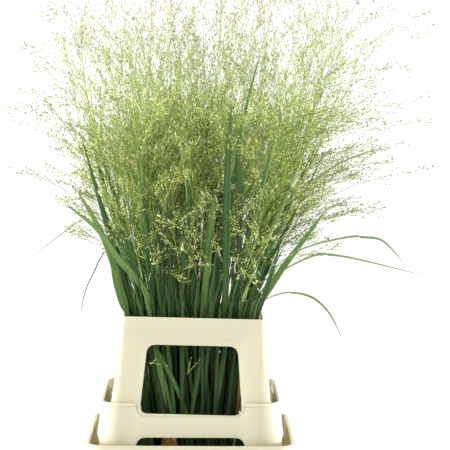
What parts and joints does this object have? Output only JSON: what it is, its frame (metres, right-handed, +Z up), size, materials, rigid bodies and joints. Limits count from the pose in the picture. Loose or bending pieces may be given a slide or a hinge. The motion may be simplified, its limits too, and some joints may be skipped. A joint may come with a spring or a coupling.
{
  "type": "cut switchgrass bunch in a flower bucket",
  "caption": "Bunch of cut switchgrass with airy panicles and long arching blades, standing in a square plastic flower bucket with two stacked, windowed collars.",
  "frame": {"origin": "middle of the bucket's flat underside", "axes": "+Z up along the bunch, +X to the holder's right and -Y to its front"},
  "size_m": [0.6543, 0.5597, 0.9069],
  "materials": {
    "cream_plastic": "satin",
    "green_culm": "matte",
    "green_blade": "satin",
    "water": "gloss"
  },
  "bodies": {
    "root": {"bucket": "cream_plastic", "lower_collar": "cream_plastic", "upper_collar": "cream_plastic", "culm_1_1": "green_culm", "panicle_1_1": "green_culm", "culm_1_2": "green_culm", "panicle_1_2": "green_culm", "culm_1_3": "green_culm", "panicle_1_3": "green_culm", "culm_1_4": "green_culm", "panicle_1_4": "green_culm", "culm_1_5": "green_culm", "panicle_1_5": "green_culm", "culm_2_1": "green_culm", "panicle_2_1": "green_culm", "culm_2_2": "green_culm", "panicle_2_2": "green_culm", "culm_2_3": "green_culm", "panicle_2_3": "green_culm", "culm_2_4": "green_culm", "panicle_2_4": "green_culm", "culm_2_5": "green_culm", "panicle_2_5": "green_culm", "culm_3_1": "green_culm", "panicle_3_1": "green_culm", "culm_3_2": "green_culm", "panicle_3_2": "green_culm", "culm_3_3": "green_culm", "panicle_3_3": "green_culm", "culm_3_4": "green_culm", "panicle_3_4": "green_culm", "culm_3_5": "green_culm", "panicle_3_5": "green_culm", "culm_4_1": "green_culm", "panicle_4_1": "green_culm", "culm_4_2": "green_culm", "panicle_4_2": "green_culm", "culm_4_3": "green_culm", "panicle_4_3": "green_culm", "culm_4_4": "green_culm", "panicle_4_4": "green_culm", "culm_4_5": "green_culm", "panicle_4_5": "green_culm", "culm_5_1": "green_culm", "panicle_5_1": "green_culm", "culm_5_2": "green_culm", "panicle_5_2": "green_culm", "culm_5_3": "green_culm", "panicle_5_3": "green_culm", "culm_5_4": "green_culm", "panicle_5_4": "green_culm", "culm_5_5": "green_culm", "panicle_5_5": "green_culm", "long_blade_right_high": "green_blade", "long_blade_right_middle": "green_blade", "long_blade_right_low": "green_blade", "long_blade_left_hanging": "green_blade", "long_blade_left_thin": "green_blade", "water": "water"}
  },
  "joints": []
}
